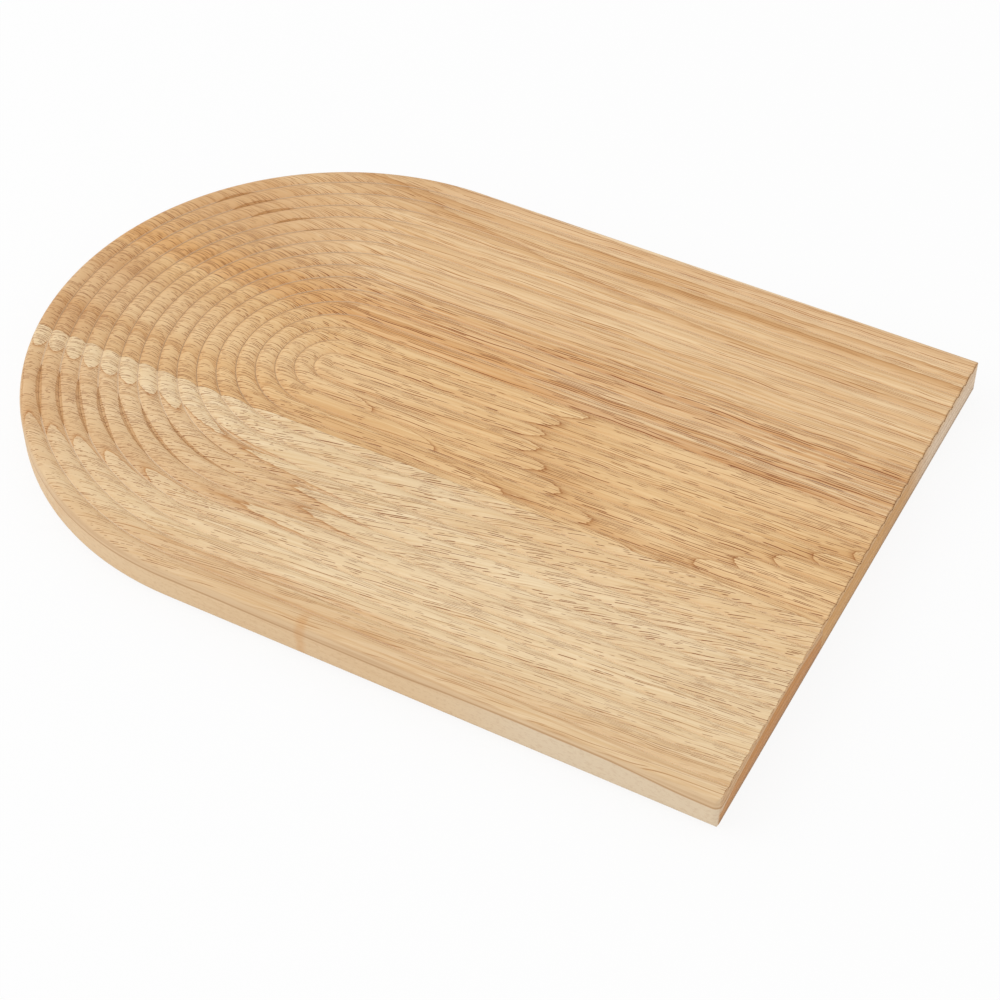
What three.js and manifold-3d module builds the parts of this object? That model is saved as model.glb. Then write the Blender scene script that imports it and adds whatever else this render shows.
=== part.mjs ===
// Serving board: three wooden staves glued edge to edge and shaped as one blank. One end is a full
// arch and the other is square. The top is worked into reeds that run side by side from the square
// end and turn round the arch, concentric with the edge.
// Millimetres. The origin is under the middle of the board, +X points to the square end,
// +Y to the back edge and +Z up.

import * as THREE from 'three';
import { mergeVertices } from 'three/addons/utils/BufferGeometryUtils.js';
import Module from 'manifold-3d';

const wasm = await Module();
wasm.setup();

// Driving dimensions
const LENGTH = 381;
const WIDTH = 270;
const THICKNESS = 20;
const FRONT_STAVE_WIDTH = 96.5;
const MIDDLE_STAVE_WIDTH = 64;
const GLUE_LINE = 0.1;
const REEDS_EACH_SIDE = 16;
const REED_RISE = 1.8;
const BASE_ROUND = 5;
const END_CORNER_RADIUS = 3;

// Fineness of the facets, how far a cutting shape runs past what it cuts, and the grid that corners
// are kept on so that faces drawn to meet do meet
const ARC_DIVISIONS = 3;
const QUARTER_TURN_FACETS = 16;
const CUT_OVERLAP = 10;
const GRID = 1e-5;

// Sizes that follow from the driving dimensions, with the arch's centre as the origin
const HALF_WIDTH = WIDTH / 2;
const STRAIGHT_LENGTH = LENGTH - HALF_WIDTH;
const REED_PITCH = HALF_WIDTH / REEDS_EACH_SIDE;
const SHOULDER_RADIUS = REED_PITCH / 2;
const FRONT_JOINT_Y = FRONT_STAVE_WIDTH - HALF_WIDTH;
const BACK_JOINT_Y = FRONT_JOINT_Y + GLUE_LINE + MIDDLE_STAVE_WIDTH;
const SIDE_REACH = HALF_WIDTH + CUT_OVERLAP;

// Colours of the staves, and the oiled finish that they share
const PALE_WOOD = 0xdec19a;
const FIGURED_WOOD = 0xd9ad7a;
const GOLDEN_WOOD = 0xd8af80;
const OILED_FINISH = { roughness: 0.6, metalness: 0 };

const X = new THREE.Vector3(1, 0, 0);
const Y = new THREE.Vector3(0, 1, 0);
const Z = new THREE.Vector3(0, 0, 1);
const MINUS_Y = Y.clone().negate();
const MINUS_Z = Z.clone().negate();

// How a flat drawing stands on the board: its right, its up, and the way it is swept
const CROSS_SECTION = new THREE.Matrix4().makeBasis(Y, Z, X);
const END_LOWER_EDGE = new THREE.Matrix4().makeBasis(X, MINUS_Z, Y);
const END_BACK_CORNER = new THREE.Matrix4().makeBasis(X, Y, Z);
const END_FRONT_CORNER = new THREE.Matrix4().makeBasis(X, MINUS_Y, MINUS_Z);

function onGrid(coordinate) {
  return Math.round(coordinate / GRID) * GRID;
}

function solidFrom(geometry) {
  geometry.deleteAttribute('normal');
  geometry.deleteAttribute('uv');
  const merged = mergeVertices(geometry);
  const corners = merged.index.array;
  const triangles = [];
  for (let i = 0; i < corners.length; i += 3) {
    const [a, b, c] = corners.slice(i, i + 3);
    const isFlattened = a === b || b === c || c === a;
    if (!isFlattened) {
      triangles.push(a, b, c);
    }
  }
  const mesh = new wasm.Mesh({
    numProp: 3,
    vertProperties: Float32Array.from(merged.attributes.position.array, onGrid),
    triVerts: new Uint32Array(triangles),
  });
  return new wasm.Manifold(mesh);
}

function geometryFrom(solid) {
  const mesh = solid.getMesh();
  const geometry = new THREE.BufferGeometry();
  geometry.setAttribute('position', new THREE.BufferAttribute(mesh.vertProperties, 3));
  geometry.setIndex(new THREE.BufferAttribute(mesh.triVerts, 1));
  geometry.computeVertexNormals();
  return geometry;
}

function sweep(shape, depth) {
  const curveSegments = 2 * ARC_DIVISIONS;
  return new THREE.ExtrudeGeometry(shape, { depth, bevelEnabled: false, curveSegments });
}

// A plain block of the board's full height and more, between two corners in plan
function stripBetween(fromX, toX, fromY, toY) {
  const height = THICKNESS + 2 * CUT_OVERLAP;
  const strip = new THREE.BoxGeometry(toX - fromX, toY - fromY, height);
  strip.translate((fromX + toX) / 2, (fromY + toY) / 2, THICKNESS / 2);
  return solidFrom(strip);
}

// Half of the cross-section, from the middle of the underside round the edge and back over the
// reeds to the middle. The outermost reed rolls over into the side.
function halfSection() {
  const halfReed = REED_PITCH / 2;
  const reedRadius = (halfReed ** 2 + REED_RISE ** 2) / (2 * REED_RISE);
  const reedHalfAngle = 2 * Math.atan(REED_RISE / halfReed);
  const up = Math.PI / 2;

  const section = new THREE.Path();
  section.moveTo(0, 0);
  section.lineTo(HALF_WIDTH - BASE_ROUND, 0);
  section.absarc(HALF_WIDTH - BASE_ROUND, BASE_ROUND, BASE_ROUND, -up, 0);
  section.lineTo(HALF_WIDTH, THICKNESS - SHOULDER_RADIUS);
  section.absarc(HALF_WIDTH - SHOULDER_RADIUS, THICKNESS - SHOULDER_RADIUS, SHOULDER_RADIUS, 0, up);
  for (let reed = REEDS_EACH_SIDE - 1; reed >= 0; reed -= 1) {
    const isOutermost = reed === REEDS_EACH_SIDE - 1;
    const crown = (reed + 0.5) * REED_PITCH;
    const start = isOutermost ? up : up - reedHalfAngle;
    section.absarc(crown, THICKNESS - reedRadius, reedRadius, start, up + reedHalfAngle);
  }
  return section.getPoints(ARC_DIVISIONS);
}

function archedEnd(section) {
  const turned = new THREE.LatheGeometry(section, 4 * QUARTER_TURN_FACETS).applyMatrix4(CROSS_SECTION);
  const archSide = stripBetween(-SIDE_REACH, 0, -SIDE_REACH, SIDE_REACH);
  return solidFrom(turned).intersect(archSide);
}

function straightLength(section) {
  const oneSide = section.slice(1);
  const otherSide = section.slice(1, -1).reverse().map((point) => new THREE.Vector2(-point.x, point.y));
  const shape = new THREE.Shape([...oneSide, ...otherSide]);
  return solidFrom(sweep(shape, STRAIGHT_LENGTH).applyMatrix4(CROSS_SECTION));
}

// What rounding takes off an edge of the square end. The edge is a corner of the drawing, and the
// drawing is swept as far to one side of the middle as to the other.
function roundingWaste(standing, cornerX, cornerY, radius, halfSpan) {
  const drawing = new THREE.Shape();
  drawing.moveTo(cornerX - radius, cornerY + CUT_OVERLAP);
  drawing.lineTo(cornerX - radius, cornerY);
  drawing.absarc(cornerX - radius, cornerY - radius, radius, Math.PI / 2, 0, true);
  drawing.lineTo(cornerX + CUT_OVERLAP, cornerY - radius);
  drawing.lineTo(cornerX + CUT_OVERLAP, cornerY + CUT_OVERLAP);
  const waste = sweep(drawing, 2 * halfSpan).translate(0, 0, -halfSpan);
  return solidFrom(waste.applyMatrix4(standing));
}

function shapedBlank() {
  const section = halfSection();
  const lowerWaste = roundingWaste(END_LOWER_EDGE, STRAIGHT_LENGTH, 0, BASE_ROUND, SIDE_REACH);
  let blank = archedEnd(section).add(straightLength(section)).subtract(lowerWaste);
  for (const corner of [END_BACK_CORNER, END_FRONT_CORNER]) {
    const tall = THICKNESS + CUT_OVERLAP;
    blank = blank.subtract(roundingWaste(corner, STRAIGHT_LENGTH, HALF_WIDTH, END_CORNER_RADIUS, tall));
  }
  return blank;
}

function stave(name, colour, blank, fromY, toY) {
  const strip = stripBetween(-SIDE_REACH, STRAIGHT_LENGTH + CUT_OVERLAP, fromY, toY);
  const material = new THREE.MeshStandardMaterial({ color: colour, ...OILED_FINISH });
  const mesh = new THREE.Mesh(geometryFrom(blank.intersect(strip)), material);
  mesh.name = name;
  return mesh;
}

const blank = shapedBlank();
const board = new THREE.Group();
board.add(stave('front_stave', PALE_WOOD, blank, -SIDE_REACH, FRONT_JOINT_Y));
board.add(stave('middle_stave', FIGURED_WOOD, blank, FRONT_JOINT_Y + GLUE_LINE, BACK_JOINT_Y));
board.add(stave('back_stave', GOLDEN_WOOD, blank, BACK_JOINT_Y + GLUE_LINE, SIDE_REACH));
board.position.x = HALF_WIDTH - LENGTH / 2;

export default board;
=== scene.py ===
import math

import bmesh
import bpy
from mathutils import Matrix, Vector


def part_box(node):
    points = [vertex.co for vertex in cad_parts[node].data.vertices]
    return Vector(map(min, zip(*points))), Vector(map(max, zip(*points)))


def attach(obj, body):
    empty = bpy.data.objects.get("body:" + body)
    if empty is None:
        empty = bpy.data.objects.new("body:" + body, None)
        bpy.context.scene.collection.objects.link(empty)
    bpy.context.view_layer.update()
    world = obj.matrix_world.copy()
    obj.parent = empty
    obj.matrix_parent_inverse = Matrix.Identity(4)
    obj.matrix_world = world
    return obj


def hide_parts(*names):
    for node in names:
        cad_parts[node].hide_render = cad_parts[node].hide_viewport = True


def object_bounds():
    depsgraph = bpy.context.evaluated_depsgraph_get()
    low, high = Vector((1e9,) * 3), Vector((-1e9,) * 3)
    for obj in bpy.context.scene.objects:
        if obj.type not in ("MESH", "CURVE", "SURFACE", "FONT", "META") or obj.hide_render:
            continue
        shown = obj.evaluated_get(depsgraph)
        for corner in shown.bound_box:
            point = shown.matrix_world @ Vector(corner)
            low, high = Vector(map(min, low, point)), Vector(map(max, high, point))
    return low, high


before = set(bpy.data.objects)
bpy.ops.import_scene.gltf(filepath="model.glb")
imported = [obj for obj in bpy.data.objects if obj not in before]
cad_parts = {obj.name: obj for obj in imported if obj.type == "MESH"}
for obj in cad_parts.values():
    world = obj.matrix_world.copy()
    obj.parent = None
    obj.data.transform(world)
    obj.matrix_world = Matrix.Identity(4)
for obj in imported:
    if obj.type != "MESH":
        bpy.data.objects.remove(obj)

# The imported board, in metres: the arch is at -X, the square end at +X and the reeds face +Z
CAD_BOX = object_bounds()
LOW, HIGH = CAD_BOX
HALF_WIDTH = HIGH.y
THICKNESS = HIGH.z
SQUARE_END_X = HIGH.x
ARCH_CENTRE_X = LOW.x + HALF_WIDTH
FRONT_STAVE_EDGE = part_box("front_stave")[1].y
MIDDLE_STAVE_EDGES = (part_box("middle_stave")[0].y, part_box("middle_stave")[1].y)
BACK_STAVE_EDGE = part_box("back_stave")[0].y

# The reeds and the rounded edges, the same as in the solids
REEDS_EACH_SIDE = 16
REED_RISE = 0.0018
BASE_ROUND = 0.005
END_CORNER_RADIUS = 0.003
REED_PITCH = HALF_WIDTH / REEDS_EACH_SIDE
SHOULDER_RADIUS = REED_PITCH / 2
REED_RADIUS = (SHOULDER_RADIUS**2 + REED_RISE**2) / (2 * REED_RISE)

# Fineness of the model, and the distances at which corners count as one or as level
ROUND_SEGMENTS = 10
REED_CIRCLE_CORNERS = 52
ARCH_STEPS = 96
END_ARRIS = 0.0004
ARRIS_SEGMENTS = 2
SMOOTH_ANGLE = math.radians(35)
SAME_PLACE = 1e-6
LEVEL = 10 * SAME_PLACE

# The same board in millimetres, in which the wood is drawn
MILLIMETRES = 1000
CROWN_HEIGHT = THICKNESS * MILLIMETRES
FOOT_HEIGHT = (THICKNESS - REED_RISE) * MILLIMETRES
HALF_REED = SHOULDER_RADIUS * MILLIMETRES
ARCH_CENTRE = ARCH_CENTRE_X * MILLIMETRES
SQUARE_END = SQUARE_END_X * MILLIMETRES
ARRIS_BAND = (SQUARE_END - 1.2, SQUARE_END - 0.2)
INTO_ARCH = (-45, -85)

# How a surface's tilt tells the sides from the top, and the square end from the rest
SIDE_TILT = (0.35, 0.75)
END_TILT = (0.74, 0.98)

# Pores and hairlines are dashes in rows, with a core and an edge as shares of their width
THREAD_SPACING = 0.7
THREAD_JITTER = 0.5
THREAD_CORE = 0.34
THREAD_EDGE = 0.6
THREAD_DEPTH = 3.0
DASH_FADE = 0.07
CROWDING = 0.2
ROW_STRIDE = 7.31
HAIR_WIDTH = 0.24
HAIR_LENGTH = 40.0
HAIR_SHARE = 0.525

# The growth rings: the strength of their glow and line, their soft edge, and how round two layers meet
GLOW_STRENGTH = 0.45
LINE_STRENGTH = 0.75
LAYER_EDGE = 0.04
LAYER_ROUNDING = 0.8
END_LAYER_PITCH = 3.7

# The photograph's view
CAMERA_AIM = Vector((0.04698, -0.03830, 0.02))
CAMERA_AZIMUTH = math.radians(28.18)
CAMERA_ELEVATION = math.radians(45.99)
CAMERA_DISTANCE = 1.0075
CAMERA_LENS = 88.55
CAMERA_SENSOR = 36

# The floor and the light
WHITE = (1, 1, 1, 1)
FLOOR_PAINT = (0.9, 0.9, 0.9, 1)
FLOOR_WHITENESS = 0.88
FLOOR_SIZE = 8
FLOOR_DROP = 0.0002
SKY_STRENGTH = 0.885
WINDOW_SIZE = 1.6
WINDOW_POWER = 7.6
WINDOW_PLACE = Vector((-1.25, -0.88, 1.15))


def select_only(piece):
    bpy.ops.object.select_all(action="DESELECT")
    piece.select_set(True)
    bpy.context.view_layer.objects.active = piece


def edit(piece):
    select_only(piece)
    bpy.ops.object.mode_set(mode="EDIT")
    bpy.ops.mesh.select_mode(type="VERT")


def leave_edit():
    bpy.ops.object.mode_set(mode="OBJECT")


def pick(piece, rule):
    """Selects the corners, in edit mode, whose place fits the rule."""
    form = bmesh.from_edit_mesh(piece.data)
    for corner in form.verts:
        corner.select_set(rule(corner.co))
    form.select_flush_mode()
    bmesh.update_edit_mesh(piece.data)


def merge_doubles():
    bpy.ops.mesh.select_all(action="SELECT")
    bpy.ops.mesh.remove_doubles(threshold=SAME_PLACE)


def face_outward():
    bpy.ops.mesh.select_all(action="SELECT")
    bpy.ops.mesh.normals_make_consistent(inside=False)


def trim(plane_y, keep, fill=False):
    """Cuts the whole form at a plane across the board's width and keeps one side."""
    bpy.ops.mesh.select_all(action="SELECT")
    bpy.ops.mesh.bisect(
        plane_co=(0, plane_y, 0),
        plane_no=(0, 1, 0),
        use_fill=fill,
        clear_inner=keep == "above",
        clear_outer=keep == "below",
    )


def is_near(a, b):
    return abs(a - b) < LEVEL


def stand_across(piece):
    """Turns a flat drawing upright across the board, at the arch's centre."""
    piece.rotation_euler = (math.pi / 2, 0, math.pi / 2)
    select_only(piece)
    bpy.ops.object.transform_apply()


def edge_section():
    """The underside, the rounded lower edge, the side and the shoulder of half a cross-section."""
    bpy.ops.object.select_all(action="DESELECT")
    centre = (ARCH_CENTRE_X, HALF_WIDTH / 2, THICKNESS / 2)
    bpy.ops.mesh.primitive_plane_add(size=1, location=centre)
    section = bpy.context.object
    section.scale = (HALF_WIDTH, THICKNESS, 1)
    stand_across(section)
    edit(section)
    for height, radius in ((0, BASE_ROUND), (THICKNESS, SHOULDER_RADIUS)):
        pick(section, lambda co: is_near(co.y, HALF_WIDTH) and is_near(co.z, height))
        bpy.ops.mesh.bevel(affect="VERTICES", offset=radius, segments=ROUND_SEGMENTS)
    pick(section, lambda co: is_near(co.y, 0) and is_near(co.z, THICKNESS))
    bpy.ops.mesh.delete(type="VERT")
    leave_edit()
    return section


def reed_section():
    """The row of reeds over half a cross-section, up to the crown of the outermost one."""
    bpy.ops.object.select_all(action="DESELECT")
    bpy.ops.mesh.primitive_circle_add(
        vertices=REED_CIRCLE_CORNERS,
        radius=REED_RADIUS,
        location=(ARCH_CENTRE_X, REED_PITCH / 2, THICKNESS - REED_RADIUS),
    )
    reeds = bpy.context.object
    stand_across(reeds)
    edit(reeds)
    trim(0, keep="above")
    trim(REED_PITCH, keep="below")
    pick(reeds, lambda co: co.z < THICKNESS - REED_RADIUS)
    bpy.ops.mesh.delete(type="VERT")
    leave_edit()
    row = reeds.modifiers.new("row", "ARRAY")
    row.count = REEDS_EACH_SIDE
    row.use_relative_offset = False
    row.use_constant_offset = True
    row.constant_offset_displace = (0, REED_PITCH, 0)
    row.use_merge_vertices = True
    row.merge_threshold = LEVEL
    bpy.ops.object.modifier_apply(modifier=row.name)
    edit(reeds)
    trim(HALF_WIDTH - REED_PITCH / 2, keep="below")
    leave_edit()
    return reeds


def end_stations():
    """Distances of the extrusions that run from the arch to the square end and round its lower edge."""
    turns = [math.pi / 2 * step / ROUND_SEGMENTS for step in range(ROUND_SEGMENTS + 1)]
    places = [SQUARE_END_X - BASE_ROUND * (1 - math.sin(turn)) for turn in turns]
    starts = [ARCH_CENTRE_X, *places[:-1]]
    return [place - start for start, place in zip(starts, places)]


def ease_square_end(blank):
    """Draws the corners near the square end in to its rounded lower edge and upright corners."""
    for corner in blank.data.vertices:
        past_round = max(0, corner.co.x - (SQUARE_END_X - BASE_ROUND))
        lowest = BASE_ROUND - math.sqrt(max(0, BASE_ROUND**2 - past_round**2))
        past_corner = max(0, corner.co.x - (SQUARE_END_X - END_CORNER_RADIUS))
        inset = END_CORNER_RADIUS - math.sqrt(max(0, END_CORNER_RADIUS**2 - past_corner**2))
        widest = HALF_WIDTH - inset
        corner.co.y = min(max(corner.co.y, -widest), widest)
        corner.co.z = max(corner.co.z, lowest)


def shaped_blank():
    """The whole board in one piece: the section turned round the arch and drawn out to the end."""
    blank = edge_section()
    reeds = reed_section()
    select_only(blank)
    reeds.select_set(True)
    bpy.ops.object.join()
    edit(blank)
    merge_doubles()
    arch_centre = (ARCH_CENTRE_X, 0, 0)
    bpy.ops.mesh.spin(steps=ARCH_STEPS, angle=math.pi, center=arch_centre, axis=(0, 0, -1))
    merge_doubles()
    pick(blank, lambda co: is_near(co.x, ARCH_CENTRE_X))
    for distance in end_stations():
        bpy.ops.mesh.extrude_region_move(TRANSFORM_OT_translate={"value": (distance, 0, 0)})
    bpy.ops.mesh.edge_face_add()
    leave_edit()
    ease_square_end(blank)
    edit(blank)
    merge_doubles()
    bpy.ops.mesh.dissolve_degenerate(threshold=SAME_PLACE)
    face_outward()
    pick(blank, lambda co: is_near(co.x, SQUARE_END_X))
    bpy.ops.mesh.bevel(affect="EDGES", offset=END_ARRIS, segments=ARRIS_SEGMENTS)
    leave_edit()
    return blank


def stave(blank, name, node, wood, low_edge=None, high_edge=None):
    """Saws one stave out of the blank between its glue lines."""
    piece = blank.copy()
    piece.data = blank.data.copy()
    piece.name = name
    bpy.context.scene.collection.objects.link(piece)
    edit(piece)
    if low_edge is not None:
        trim(low_edge, keep="above", fill=True)
    if high_edge is not None:
        trim(high_edge, keep="below", fill=True)
    face_outward()
    leave_edit()
    select_only(piece)
    bpy.ops.object.shade_smooth_by_angle(angle=SMOOTH_ANGLE)
    piece.data.materials.clear()
    piece.data.materials.append(wood)
    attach(piece, "root")
    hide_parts(node)


def tone(red, green, blue):
    """A screen colour, 0 to 255, as the light that a surface gives back."""
    return tuple(
        part / 12.92 if part <= 0.04045 else ((part + 0.055) / 1.055) ** 2.4
        for part in (red / 255, green / 255, blue / 255)
    ) + (1,)


# The browns that all three woods share
HAIRLINE = tone(156, 88, 12)
PORE = tone(132, 62, 0)
# painted shade in the valleys at the feet of the reeds
REED_FOOT_SHADE = tone(150, 112, 72)
ARRIS = tone(146, 98, 50)
END_LAYER = tone(140, 92, 48)
END_SPECKLE = tone(150, 100, 54)
# painted shade at the foot of the square end
END_FOOT_SHADE = tone(136, 104, 76)


class Bench:
    """Places shader nodes in one tree and wires them together."""

    def __init__(self, tree):
        self.tree = tree

    def feed(self, socket, value):
        if isinstance(value, bpy.types.NodeSocket):
            self.tree.links.new(value, socket)
        else:
            socket.default_value = value

    def put(self, kind, feeds=None, **settings):
        node = self.tree.nodes.new(kind)
        for setting, value in settings.items():
            setattr(node, setting, value)
        for socket, value in (feeds or {}).items():
            self.feed(node.inputs[socket], value)
        return node

    def use(self, group, feeds):
        return self.put("ShaderNodeGroup", feeds, node_tree=group).outputs

    def calc(self, operation, *values):
        """Arithmetic on numbers."""
        return self.put("ShaderNodeMath", dict(enumerate(values)), operation=operation).outputs[0]

    def times(self, *values):
        product = values[0]
        for value in values[1:]:
            product = self.calc("MULTIPLY", product, value)
        return product

    def apart(self, first, second):
        return self.calc("ABSOLUTE", self.calc("SUBTRACT", first, second))

    def vector(self, operation, *values):
        """Arithmetic on places and directions."""
        node = self.put("ShaderNodeVectorMath", dict(enumerate(values)), operation=operation)
        return node.outputs["Value" if operation in ("DOT_PRODUCT", "LENGTH") else "Vector"]

    def point(self, **parts):
        return self.put("ShaderNodeCombineXYZ", parts).outputs["Vector"]

    def split(self, place):
        return self.put("ShaderNodeSeparateXYZ", {"Vector": place}).outputs

    def ease(self, value, start, end, low=0.0, high=1.0):
        """Goes softly from low to high while the value goes from start to end, up or down."""
        feeds = {"Value": value, "From Min": start, "From Max": end, "To Min": low, "To Max": high}
        return self.put("ShaderNodeMapRange", feeds, interpolation_type="SMOOTHSTEP").outputs["Result"]

    def fade(self, value, start, end):
        return self.ease(value, start, end, 1.0, 0.0)

    def blend(self, share, first, second):
        """A colour between two colours."""
        return self.put("ShaderNodeMix", {0: share, 6: first, 7: second}, data_type="RGBA").outputs[2]

    def noise(self, place, stretch, detail=2.0, roughness=0.5):
        """Soft noise with patches of the given length, width and depth."""
        scaled = self.vector("DIVIDE", place, stretch)
        feeds = {"Vector": scaled, "Scale": 1.0, "Detail": detail, "Roughness": roughness}
        return self.put("ShaderNodeTexNoise", feeds).outputs["Fac"]


def new_group(name, inputs, outputs):
    """An empty node group with named sockets, each input with its usual value."""
    tree = bpy.data.node_groups.new(name, "ShaderNodeTree")
    for label, usual in inputs.items():
        kind = "NodeSocketVector" if isinstance(usual, tuple) else "NodeSocketFloat"
        tree.interface.new_socket(label, in_out="INPUT", socket_type=kind).default_value = usual
    for label in outputs:
        tree.interface.new_socket(label, in_out="OUTPUT", socket_type="NodeSocketFloat")
    bench = Bench(tree)
    return bench, bench.put("NodeGroupInput").outputs, bench.put("NodeGroupOutput").inputs


def new_material(name):
    """A material without nodes, and the bench that they are placed on."""
    material = bpy.data.materials.new(name)
    material.use_nodes = True
    material.node_tree.nodes.clear()
    return material, Bench(material.node_tree)


def past_arch_centre(bench, along):
    """How far a place lies into the arch, below zero, and nothing over the straight length."""
    return bench.calc("MINIMUM", bench.calc("SUBTRACT", along, ARCH_CENTRE), 0.0)


def make_layer_depth():
    """How deep a place lies under a growth layer that passes through Edge.

    Slope is the layer's rise along each axis and Bend its curve, with the axes turned by Turn.
    """
    usual = {
        "Place": (0, 0, 0),
        "Edge": (0, 0, CROWN_HEIGHT),
        "Turn": 0.0,
        "Slope": (0, 0, -1),
        "Bend": (0, 0, 0),
    }
    bench, given, result = new_group("layer_depth", usual, ["Depth"])
    off = bench.vector("SUBTRACT", given["Place"], given["Edge"])
    feeds = {"Vector": off, "Angle": given["Turn"]}
    turned = bench.put("ShaderNodeVectorRotate", feeds, rotation_type="Z_AXIS").outputs["Vector"]
    straight = bench.vector("DOT_PRODUCT", turned, given["Slope"])
    curved = bench.vector("DOT_PRODUCT", bench.vector("MULTIPLY", turned, turned), given["Bend"])
    bench.feed(result["Depth"], bench.calc("ADD", straight, curved))
    return bench.tree


def make_growth_line():
    """The late wood of one growth ring: a thin dark line, a glow beside it and a long fading shade."""
    usual = {"Depth": 0.0, "Line": 0.16, "Glow": 0.7, "Shade": 4.0}
    bench, given, result = new_group("growth_line", usual, ["Line", "Glow", "Shade"])
    inside = bench.ease(given["Depth"], -LAYER_EDGE, LAYER_EDGE)
    for label in ("Line", "Glow", "Shade"):
        left = bench.fade(given["Depth"], LAYER_EDGE, given[label])
        bench.feed(result[label], bench.times(inside, left))
    return bench.tree


def make_wood_fibre():
    """Streaks along the grain, fine and broad, long faint hairlines, and open pores as thin dashes."""
    usual = {
        "Place": (0, 0, 0),
        "Streak Length": 40.0,
        "Pore Length": 12.0,
        "Pore Width": 0.3,
        "Pore Share": 0.5,
    }
    bench, given, result = new_group("wood_fibre", usual, ["Fine", "Broad", "Hairs", "Pores"])

    def sway(place, patch, size):
        swing = bench.calc("SUBTRACT", bench.noise(place, patch, 1.0), 0.5)
        return bench.vector("ADD", place, bench.point(Y=bench.times(swing, size)))

    place = sway(given["Place"], (28, 6, 12), 2.0)
    streak = bench.point(X=given["Streak Length"], Y=0.7, Z=1.6)
    bench.feed(result["Fine"], bench.noise(place, streak, 2.0, 0.6))
    bench.feed(result["Broad"], bench.noise(place, (130, 3.5, 8.0), 3.0, 0.6))
    crowded = bench.calc("SUBTRACT", bench.noise(place, (40, 9, 9)), 0.5)
    axes = bench.split(sway(place, (45, 6, 6), 1.0))
    shortened = bench.calc("ADD", axes["X"], past_arch_centre(bench, axes["X"]))

    def threads(width, length, share):
        """Dashes in rows: each row lies off its middle by chance and has its own stretch of noise."""
        row = bench.calc("DIVIDE", axes["Y"], THREAD_SPACING)
        number = bench.calc("FLOOR", row)
        chance = bench.put("ShaderNodeTexWhiteNoise", {"W": number}, noise_dimensions="1D")
        nearest = 0.5 - THREAD_JITTER / 2
        middle = bench.calc("MULTIPLY_ADD", chance.outputs["Value"], THREAD_JITTER, nearest)
        off_middle = bench.times(bench.apart(bench.calc("FRACT", row), middle), THREAD_SPACING)
        core = bench.times(width, THREAD_CORE)
        thin = bench.fade(off_middle, core, bench.times(width, THREAD_EDGE))
        spot = bench.point(
            X=bench.calc("DIVIDE", shortened, length),
            Y=bench.times(number, ROW_STRIDE),
            Z=bench.calc("DIVIDE", axes["Z"], THREAD_DEPTH),
        )
        run = bench.calc("ADD", bench.noise(spot, (1, 1, 1), 1.0), bench.times(crowded, CROWDING))
        return bench.times(thin, bench.ease(run, share, bench.calc("ADD", share, DASH_FADE)))

    pore_sizes = [given[label] for label in ("Pore Width", "Pore Length", "Pore Share")]
    bench.feed(result["Hairs"], threads(HAIR_WIDTH, HAIR_LENGTH, HAIR_SHARE))
    bench.feed(result["Pores"], threads(*pore_sizes))
    return bench.tree


def make_reed_valley():
    """The narrow lines at the foot of the reeds, straight along the board and round the arch: a wider
    line for painted light and a core for painted shade.
    """
    bench, given, result = new_group("reed_valley", {"Place": (0, 0, 0)}, ["Line", "Core"])
    axes = bench.split(given["Place"])
    radius = bench.vector("LENGTH", bench.point(X=past_arch_centre(bench, axes["X"]), Y=axes["Y"]))
    from_foot = bench.calc("PINGPONG", radius, HALF_REED)
    at_height = bench.fade(bench.apart(axes["Z"], FOOT_HEIGHT), 0.4, 0.6)
    for label, start, end in (("Line", 0.1, 0.55), ("Core", 0.05, 0.25)):
        bench.feed(result[label], bench.times(bench.fade(from_foot, start, end), at_height))
    return bench.tree


LAYER_DEPTH = make_layer_depth()
GROWTH_LINE = make_growth_line()
WOOD_FIBRE = make_wood_fibre()
REED_VALLEY = make_reed_valley()


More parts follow.
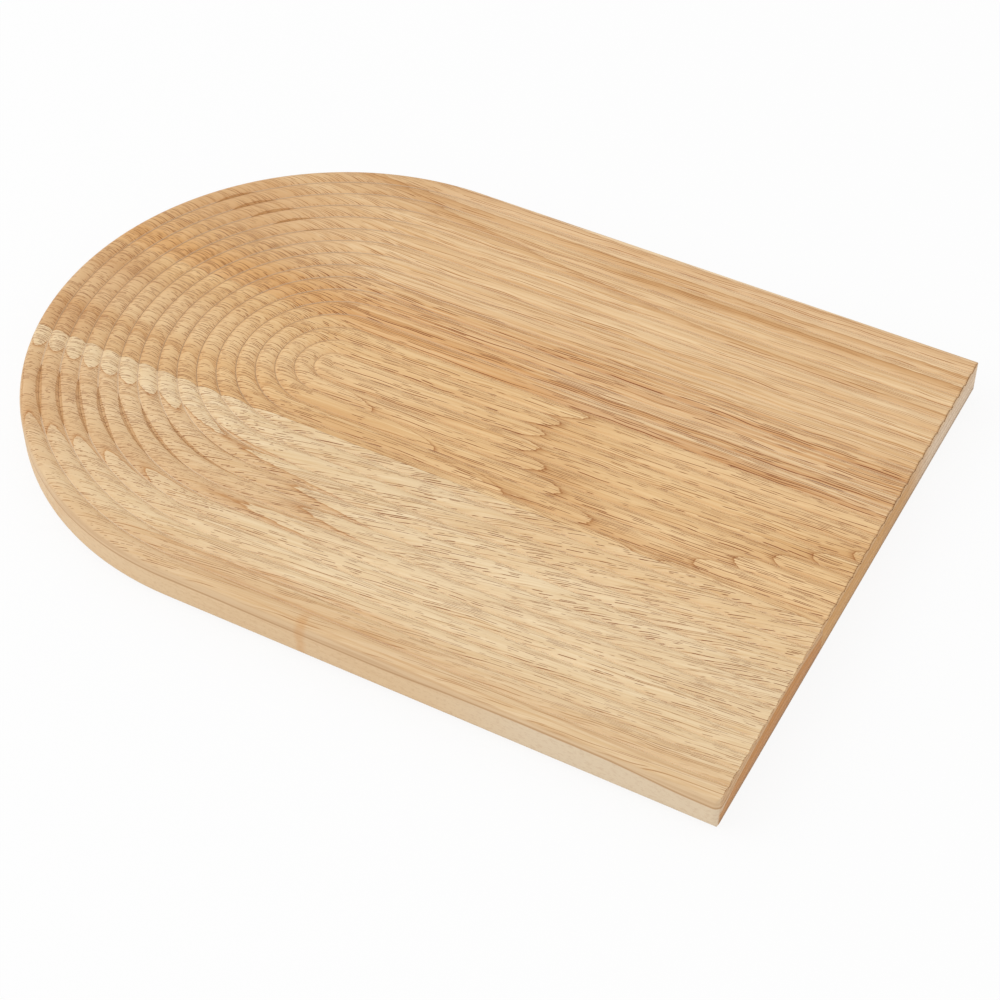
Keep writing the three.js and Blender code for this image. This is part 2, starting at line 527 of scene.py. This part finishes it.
class Wood:
    """One stave's wood: its place in millimetres, its grain, and the colour that is built up on it."""

    def __init__(self, name, slant, streak_length, pore_length, pore_width, pore_share):
        self.material, self.bench = new_material(name)
        coords = self.bench.put("ShaderNodeTexCoord").outputs
        enlarged = {"Vector": coords["Object"], "Scale": (MILLIMETRES, MILLIMETRES, MILLIMETRES)}
        self.place = self.bench.put("ShaderNodeMapping", enlarged).outputs["Vector"]
        axes = self.bench.split(self.place)
        self.along = axes["X"]
        self.across = axes["Y"]
        self.height = axes["Z"]
        self.normal = self.bench.split(coords["Normal"])
        self.fibre_sizes = {
            "Streak Length": streak_length,
            "Pore Length": pore_length,
            "Pore Width": pore_width,
            "Pore Share": pore_share,
        }
        self.fibre = self.fibres(slant)
        self.jag = self.centred(self.bench.noise(self.place, (7, 0.7, 0.7)), 0.5)
        self.colour = None
        # a pale line of painted light and a dark core of painted shade at the reed feet
        self.foot_light_colour = tone(226, 204, 174)
        self.foot_light_share = 1.0
        self.foot_shade_strength = 0.52
        self.end_rise = 0.0

    def by_length(self, start, end, low=0.0, high=1.0):
        """Eases between two places along the board."""
        return self.bench.ease(self.along, start, end, low, high)

    def by_width(self, start, end, low=0.0, high=1.0):
        """Eases between two places across the board."""
        return self.bench.ease(self.across, start, end, low, high)

    def centred(self, value, gain):
        return self.bench.times(self.bench.calc("SUBTRACT", value, 0.5), gain)

    def fibres(self, slant):
        """The fibre in a direction that leaves the stave's length by the slant."""
        along_grain = {"Vector": self.place, "Rotation": (0, 0, -slant)}
        self.grain = self.bench.put("ShaderNodeMapping", along_grain).outputs["Vector"]
        return dict(self.bench.use(WOOD_FIBRE, {"Place": self.grain, **self.fibre_sizes}).items())

    def turn_fibres(self, slant, start, end):
        """Goes over to another slant between two places across the board."""
        share = self.by_width(start, end)
        other = self.fibres(slant)
        for label, value in self.fibre.items():
            feeds = {0: share, 2: value, 3: other[label]}
            self.fibre[label] = self.bench.put("ShaderNodeMix", feeds, data_type="FLOAT").outputs[0]

    def thin_out_pores(self, share):
        self.fibre["Pores"] = self.bench.times(self.fibre["Pores"], share)

    def base(self, dark, light, fine, broad):
        """The plain wood between its dark and light streaks, which are fainter in the arch."""
        bench = self.bench
        fine_streaks = self.centred(self.fibre["Fine"], fine)
        broad_streaks = self.centred(self.fibre["Broad"], broad)
        streaks = bench.calc("ADD", fine_streaks, broad_streaks)
        streaks = bench.times(streaks, self.by_length(-60, -115, 1.0, 0.55))
        clouds = self.centred(bench.noise(self.grain, (150, 30, 25)), 0.8)
        share = bench.calc("ADD", bench.calc("ADD", streaks, clouds), 0.5)
        self.colour = bench.blend(share, dark, light)

    def tint(self, colour, strength, *shares):
        """Lays a colour over the wood where all the shares hold."""
        self.colour = self.bench.blend(self.bench.times(*shares, strength), self.colour, colour)

    def wave(self, size, patch):
        """Lets the growth layers wander a little from their smooth course."""
        swing = self.centred(self.bench.noise(self.place, patch), size)
        self.waved = self.bench.vector("ADD", self.place, self.bench.point(Y=swing))

    def depth(self, edge, slope=(0, 0), bend=(0, 0), rise=0.0, turn=0.0):
        """Depth under a layer that stands at the edge by the rise above the crowns of the reeds."""
        feeds = {
            "Place": self.waved,
            "Edge": (*edge, CROWN_HEIGHT + rise),
            "Turn": turn,
            "Slope": (*slope, -1),
            "Bend": (*bend, 0),
        }
        return self.bench.use(LAYER_DEPTH, feeds)["Depth"]

    def ring(self, depth, line, shade, reach, where=1.0):
        """One growth ring, with a colour and a strength for its line and for its shade."""
        feeds = {"Depth": self.bench.calc("ADD", depth, self.jag), "Shade": reach}
        found = self.bench.use(GROWTH_LINE, feeds)
        line_colour, line_strength = line
        shade_colour, shade_strength = shade
        self.tint(shade_colour, shade_strength, found["Shade"], where)
        self.tint(line_colour, GLOW_STRENGTH * line_strength, found["Glow"], where)
        self.tint(line_colour, LINE_STRENGTH * line_strength, found["Line"], where)

    def sides(self, colour, line_height, line_colour, low_colour, low_strength):
        """The upright sides: thin layers, one wandering dark line and a paler, mottled band under it."""
        bench = self.bench
        is_side = bench.fade(bench.calc("ABSOLUTE", self.normal["Z"]), *SIDE_TILT)
        self.on_top = bench.calc("SUBTRACT", 1.0, is_side)
        self.tint(colour, bench.ease(self.fibre["Broad"], 0.25, 0.75, 0.9, 0.55), is_side)
        wander = self.centred(bench.noise(self.place, (70, 60, 12)), 2.0)
        over_line = bench.calc("SUBTRACT", bench.calc("ADD", self.height, wander), line_height)
        below = bench.times(bench.ease(over_line, 0.2, -0.8), is_side)
        self.tint(low_colour, low_strength, below)
        above = bench.times(is_side, bench.ease(over_line, 0.2, 1.5, 0.1, 1.0))
        self.tint(line_colour, 0.17, above)
        layers = bench.ease(bench.noise(self.place, (70, 70, 1.6), 2.0, 0.6), 0.45, 0.62)
        self.tint(line_colour, 0.3, layers, above)
        mottle = bench.ease(bench.noise(self.place, (2.6, 2.6, 1.2), 3.0, 0.7), 0.48, 0.66)
        self.tint(line_colour, 0.2, mottle, below)
        line = bench.times(bench.ease(over_line, -0.7, 0.0), bench.fade(over_line, 0.1, 1.1))
        self.tint(line_colour, 0.8, line, is_side)

    def marks(self, hair_strength):
        """Hairlines, open pores, and the painted light and painted shade at the feet of the reeds."""
        self.tint(HAIRLINE, hair_strength, self.fibre["Hairs"], self.on_top)
        self.tint(PORE, 1.0, self.fibre["Pores"], self.on_top)
        valley = self.bench.use(REED_VALLEY, {"Place": self.place})
        # painted light at the reed feet, lifting the shade in the valleys
        painted_foot_light = self.bench.times(valley["Line"], self.by_length(*INTO_ARCH, 0.4, 0.75))
        self.tint(self.foot_light_colour, self.foot_light_share, painted_foot_light)
        # painted shade in the valleys at the reed feet
        painted_foot_shade = self.bench.times(valley["Core"], self.by_length(*INTO_ARCH, 0.1, 1.0))
        self.tint(REED_FOOT_SHADE, self.foot_shade_strength, painted_foot_shade)

    def end_grain_and_shade(self, colour, strength, arris_strength):
        """The square end with its growth layers and speckle, a colour that is partly painted shade,
        painted shade at its foot, and the arris over it.
        """
        bench = self.bench
        square_end = bench.ease(self.normal["X"], *END_TILT)
        beside_end = bench.calc("SUBTRACT", 1.0, square_end)
        self.tint(ARRIS, arris_strength, self.by_length(*ARRIS_BAND), beside_end, self.on_top)
        wander = self.centred(bench.noise(self.place, (60, 40, 9)), 4.0)
        height = bench.calc("ADD", bench.calc("ADD", self.height, wander), self.end_rise)
        # the square end's darker colour: end grain, and partly painted shade
        self.tint(colour, bench.ease(height, 19.0, 16.5, 0.3 * strength, strength), square_end)
        in_layer = bench.calc("FRACT", bench.calc("DIVIDE", height, END_LAYER_PITCH))
        layer_line = bench.fade(bench.apart(in_layer, 0.5), 0.04, 0.16)
        self.tint(END_LAYER, 0.4 * strength, layer_line, square_end)
        speckle = bench.ease(bench.noise(self.place, (2.0, 1.6, 1.2), 2.0, 0.6), 0.5, 0.68)
        self.tint(END_SPECKLE, 0.3 * strength, speckle, square_end)
        # painted shade at the foot of the square end
        self.tint(END_FOOT_SHADE, 0.5 * strength, bench.ease(self.height, 8.5, 5.5), square_end)

    def finish(self):
        """The oiled surface, with the fine relief of its fibres and pores."""
        bench = self.bench
        relief = bench.calc("SUBTRACT", bench.times(self.fibre["Fine"], 0.4), self.fibre["Pores"])
        bump = bench.put("ShaderNodeBump", {"Height": relief, "Strength": 0.2, "Distance": 0.0001})
        surface = bench.put("ShaderNodeBsdfPrincipled", {
            "Base Color": self.colour,
            "Roughness": bench.ease(self.fibre["Fine"], 0.2, 0.8, 0.52, 0.68),
            "Normal": bump.outputs["Normal"],
            "Specular IOR Level": 0.3,
        })
        bench.put("ShaderNodeOutputMaterial", {"Surface": surface.outputs["BSDF"]})
        return self.material


def make_pale_wood():
    """The front stave: slanting grain, a brown near edge and a brown patch in the arch."""
    wood = Wood(
        "pale_oiled_wood",
        slant=math.radians(4),
        streak_length=40.0,
        pore_length=7.5,
        pore_width=0.22,
        pore_share=0.54,
    )
    bench = wood.bench
    wood.turn_fibres(math.radians(9.5), -98, -72)
    wood.thin_out_pores(wood.by_width(-112, -92, 0.6, 1.0))
    rim = bench.times(wood.by_width(-121, -128), wood.by_length(-80, -20))
    wood.thin_out_pores(bench.ease(rim, 0.0, 1.0, 1.0, 0.15))
    wood.base(tone(223, 190, 143), tone(243, 219, 180), fine=2.2, broad=0.8)
    wood.wave(3.0, (26, 10, 10))
    brown = tone(202, 152, 98)

    # The near edge
    edge = wood.by_width(-112, -126)
    wood.tint(brown, 0.35, edge, wood.by_length(50, 110, 1.0, 0.65))
    rim_streaks = bench.ease(bench.noise(wood.place, (110, 2.2, 2.2)), 0.48, 0.62)
    wood.tint(tone(194, 142, 88), 0.4, rim, rim_streaks)
    streaks = bench.times(bench.ease(wood.fibre["Broad"], 0.5, 0.62), wood.by_length(90, 20))
    flame = bench.fade(bench.apart(wood.across, -119), 1.0, 6.0)
    wood.tint(tone(208, 150, 90), 0.5, streaks, flame)

    # Broad areas of the arch, and the length beside the glue line
    arch_edge = bench.times(wood.by_width(-94, -108), wood.by_length(-95, -125))
    wood.tint(tone(206, 162, 114), 0.18, arch_edge)
    beside_glue = bench.times(wood.by_width(-74, -46), wood.by_length(20, 80))
    wood.tint(tone(226, 178, 114), 0.32, beside_glue)
    inner_arch = bench.times(wood.by_width(-76, -88), wood.by_length(-20, -70))
    wood.tint(brown, 0.16, inner_arch, wood.by_width(-114, -104, 0.2, 1.0))
    far_end = bench.times(wood.by_length(-120, -160), wood.by_width(-48, -60))
    wood.tint(brown, 0.35, far_end)

    # The brown patch, and the deeper layer that shows low on the reeds
    patch = wood.depth((-130, -71), bend=(-0.000194, -0.0069), rise=2.3, turn=math.radians(4.5))
    wood.ring(patch, line=(tone(180, 116, 50), 0.75), shade=(tone(206, 148, 82), 0.28), reach=12.0)
    deeper = wood.depth((-150, -72), bend=(-0.0001, -0.005), rise=-0.75)
    wood.ring(deeper, line=(tone(160, 102, 40), 0.4), shade=(tone(194, 138, 74), 0.34), reach=3.0)
    # painted light at the reed feet, paler here and left out where the deeper layer shows; weaker
    # painted shade
    wood.foot_light_share = bench.fade(deeper, -0.1, 0.1)
    wood.foot_light_colour = tone(244, 222, 190)
    wood.foot_shade_strength = 0.32

    # The near side, with one brown mark, and the end
    line_rise = wood.by_length(45, 105, 14.1, 15.9)
    line_fall = wood.by_length(140, 180, 0.0, 2.5)
    wood.sides(
        tone(227, 198, 159),
        line_height=bench.calc("SUBTRACT", line_rise, line_fall),
        line_colour=tone(182, 137, 92),
        low_colour=tone(227, 206, 176),
        low_strength=wood.by_length(55, 125),
    )
    wander = wood.centred(bench.noise(wood.place, (6, 6, 5)), 3.0)
    mark = bench.fade(bench.apart(bench.calc("ADD", wood.along, wander), 9.5), 0.4, 3.4)
    wood.tint(tone(206, 142, 72), 0.3, mark, wood.by_width(-124, -132))
    from_heart = bench.calc("ADD", wood.across, 78)
    wood.end_rise = bench.times(from_heart, from_heart, 0.0025)
    wood.marks(hair_strength=0.6)
    wood.end_grain_and_shade(tone(198, 131, 54), strength=0.85, arris_strength=0.0)
    return wood.finish()


def make_figured_wood():
    """The middle stave: growth rings that loop round a pale heart."""
    wood = Wood(
        "figured_oiled_wood",
        slant=math.radians(1.5),
        streak_length=60.0,
        pore_length=12.0,
        pore_width=0.23,
        pore_share=0.53,
    )
    bench = wood.bench
    wood.base(tone(216, 169, 112), tone(243, 209, 158), fine=2.0, broad=0.6)
    wood.wave(2.5, (40, 10, 10))
    golden = tone(206, 152, 90)
    line = tone(160, 98, 44)

    # The arch and the length beside the glue line
    into_arch = bench.times(wood.by_length(-90, -150), wood.by_width(22, 8))
    wood.tint(tone(196, 156, 116), 0.25, into_arch)
    arch_tip = wood.by_length(-148, -172)
    wood.tint(tone(202, 152, 102), 0.45, arch_tip)
    beside_glue = bench.times(wood.by_width(-25, -33), wood.by_length(50, 10))
    wood.tint(tone(202, 152, 96), 0.25, beside_glue, wood.by_length(-165, -130))

    # The heart inside the loop, and the wood outside it
    heart = bench.ease(bench.apart(wood.across, -5), 17, 7)
    wood.tint(tone(240, 208, 162), 0.3, heart, wood.by_length(30, -30))
    outer = bench.ease(bench.apart(wood.across, -6), 8, 20)
    wood.tint(tone(242, 208, 160), 0.4, outer, wood.by_length(70, 105))

    # The loop, a ring on its near side and a faint one in the arch
    start = wood.depth((45, 3), slope=(0.116, 0), bend=(0, -0.0042))
    far_side = wood.depth((180, 0), slope=(-0.18, 0.288))
    loop = bench.calc("SMOOTH_MIN", start, far_side, LAYER_ROUNDING)
    wood.ring(loop, line=(line, 0.9), shade=(golden, 0.3), reach=5.0)
    near_side = wood.depth((-0.5, -21.1), slope=(0.2, 0.85))
    straight = wood.by_length(-80, -55)
    wood.ring(near_side, line=(line, 0.9), shade=(golden, 0.2), reach=5.0, where=straight)
    arch = wood.depth((-120, -23), slope=(0.03, 0.6))
    wood.ring(arch, line=(line, 0.4), shade=(golden, 0.3), reach=5.0)

    wood.sides(
        tone(220, 186, 146),
        line_height=14.4,
        line_colour=tone(188, 142, 94),
        low_colour=tone(220, 196, 162),
        low_strength=0.4,
    )
    # painted light and painted shade at the reed feet
    wood.foot_light_colour = tone(222, 192, 153)
    wood.foot_shade_strength = 0.46
    wood.marks(hair_strength=0.6)
    wood.end_grain_and_shade(tone(213, 158, 88), strength=0.8, arris_strength=0.3)
    return wood.finish()


def make_golden_wood():
    """The back stave: straight grain with a porous, darker band beside the glue line."""
    wood = Wood(
        "golden_oiled_wood",
        slant=math.radians(0.5),
        streak_length=120.0,
        pore_length=22.0,
        pore_width=0.26,
        pore_share=0.515,
    )
    bench = wood.bench
    across = bench.calc("ADD", wood.across, wood.centred(wood.fibre["Broad"], 12))
    band = bench.times(bench.ease(across, 63, 54), bench.ease(across, 38, 44))
    low_band = bench.calc("MAXIMUM", band, bench.ease(across, 44, 36))
    straight = wood.by_length(-95, -50)
    to_end = wood.by_length(0, 40)
    porous = bench.calc("MAXIMUM", low_band, bench.ease(straight, 1.0, 0.0, 0.0, 0.3))
    wood.thin_out_pores(bench.calc("ADD", bench.times(porous, 0.75), 0.25))
    wood.base(tone(218, 174, 121), tone(241, 210, 166), fine=2.4, broad=1.1)
    wood.wave(3.0, (90, 10, 10))
    dark = tone(204, 152, 94)
    line = tone(172, 116, 64)

    # The band beside the glue line, along the length and into the arch
    fading = bench.times(straight, wood.by_length(50, 110, 1.0, 0.5))
    wood.tint(tone(214, 154, 78), 0.22, band, fading)
    streaks = bench.ease(bench.noise(wood.grain, (200, 1.1, 5), 1.0), 0.47, 0.6)
    wood.tint(tone(192, 124, 56), 0.4, low_band, straight, streaks)
    arch_band = bench.times(wood.by_width(67, 50), wood.by_width(22, 38))
    wood.tint(tone(202, 144, 74), 0.36, arch_band, bench.ease(straight, 1.0, 0.0))
    inner_band = bench.ease(across, 48, 38)
    wood.tint(tone(218, 154, 74), 0.36, inner_band, wood.by_length(60, 10))

    # The back edge
    far_arch = bench.times(wood.by_length(-10, -70), wood.by_width(100, 112))
    wood.tint(tone(204, 156, 102), 0.4, far_arch)
    pale_edge = wood.by_width(116, 126)
    wood.tint(tone(244, 216, 180), 0.25, pale_edge, straight)

    # Straight growth rings, one of them bent along its length
    for edge, bend, strength, reach, where in (
        ((0, 131), 0, 0.4, 4.0, 1.0),
        ((0, 121.5), 0, 0.6, 3.0, 1.0),
        ((0, 114), 0, 0.75, 4.0, to_end),
        ((150, 94.5), 0.000225, 0.5, 3.0, 1.0),
        ((0, 36.5), 0, 0.45, 2.0, straight),
    ):
        layer = wood.depth(edge, slope=(0, -0.5), bend=(bend, 0))
        wood.ring(layer, line=(line, strength), shade=(dark, strength), reach=reach, where=where)
    pale_streak = bench.fade(bench.apart(across, 38), 0.5, 2.0)
    wood.tint(tone(238, 204, 160), 0.4, pale_streak, to_end)

    # The shaded back of the arch, and the deeper layer that shows low on the reeds
    back_of_arch = bench.times(wood.by_width(108, 90), wood.by_width(50, 66))
    wood.tint(tone(202, 148, 90), 0.5, back_of_arch, wood.by_length(-70, -150))
    deeper = wood.depth((-141, 77), bend=(-0.0006, -0.011), rise=-0.9)
    wood.ring(deeper, line=(tone(160, 104, 44), 0.5), shade=(tone(188, 132, 68), 0.5), reach=3.0)
    # no painted light at the reed feet where the deeper layer shows
    wood.foot_light_share = bench.fade(deeper, -0.1, 0.1)

    wood.sides(
        tone(222, 190, 150),
        line_height=14.4,
        line_colour=tone(190, 144, 98),
        low_colour=tone(220, 196, 164),
        low_strength=0.4,
    )
    wood.marks(hair_strength=0.7)
    end_colour = bench.blend(wood.by_width(46, 82), tone(210, 159, 98), tone(230, 206, 178))
    wood.end_grain_and_shade(end_colour, strength=0.85, arris_strength=0.45)
    return wood.finish()


def add_to_scene(name, data):
    thing = bpy.data.objects.new(name, data)
    bpy.context.scene.collection.objects.link(thing)
    return thing


def point_along(thing, direction):
    thing.rotation_euler = direction.to_track_quat("-Z", "Y").to_euler()


def place_camera():
    data = bpy.data.cameras.new("photo_view")
    data.lens = CAMERA_LENS
    data.sensor_width = CAMERA_SENSOR
    camera = add_to_scene("photo_view", data)
    back = Vector((
        math.sin(CAMERA_AZIMUTH) * math.cos(CAMERA_ELEVATION),
        -math.cos(CAMERA_AZIMUTH) * math.cos(CAMERA_ELEVATION),
        math.sin(CAMERA_ELEVATION),
    ))
    camera.location = CAMERA_AIM + back * CAMERA_DISTANCE
    point_along(camera, -back)
    bpy.context.scene.camera = camera


def make_floor():
    """A floor that looks nearly white and lights the board as pale paint would."""
    bpy.ops.object.select_all(action="DESELECT")
    bpy.ops.mesh.primitive_plane_add(size=FLOOR_SIZE, location=(0, 0, -FLOOR_DROP))
    floor = bpy.context.object
    floor.name = "pale_floor"
    material, bench = new_material("white_floor")
    seen = bench.put("ShaderNodeLightPath").outputs
    direct = bench.calc("MAXIMUM", seen["Is Camera Ray"], seen["Is Glossy Ray"])
    direct = bench.calc("MAXIMUM", direct, seen["Is Transmission Ray"])
    paint = bench.put("ShaderNodeBsdfDiffuse", {"Color": FLOOR_PAINT})
    white = bench.put("ShaderNodeEmission", {"Color": WHITE, "Strength": 1.0})
    mix = bench.put("ShaderNodeMixShader", {
        0: bench.times(direct, FLOOR_WHITENESS),
        1: paint.outputs["BSDF"],
        2: white.outputs["Emission"],
    })
    bench.put("ShaderNodeOutputMaterial", {"Surface": mix.outputs["Shader"]})
    floor.data.materials.append(material)


def make_light():
    """An even white sky and one large soft window at the left."""
    world = bpy.data.worlds.new("studio")
    world.use_nodes = True
    background = world.node_tree.nodes["Background"]
    background.inputs["Color"].default_value = WHITE
    background.inputs["Strength"].default_value = SKY_STRENGTH
    bpy.context.scene.world = world
    data = bpy.data.lights.new("window_side", "AREA")
    data.shape = "DISK"
    data.size = WINDOW_SIZE
    data.energy = WINDOW_POWER
    window = add_to_scene("window_side", data)
    window.location = WINDOW_PLACE
    point_along(window, -WINDOW_PLACE)


blank = shaped_blank()
low_glue, high_glue = MIDDLE_STAVE_EDGES
pale, figured, golden = make_pale_wood(), make_figured_wood(), make_golden_wood()
stave(blank, "pale_front_stave", "front_stave", pale, high_edge=FRONT_STAVE_EDGE)
stave(blank, "figured_middle_stave", "middle_stave", figured, low_glue, high_glue)
stave(blank, "golden_back_stave", "back_stave", golden, low_edge=BACK_STAVE_EDGE)
bpy.data.objects.remove(blank)
make_floor()
make_light()
place_camera()
bpy.context.scene.view_settings.view_transform = "Standard"
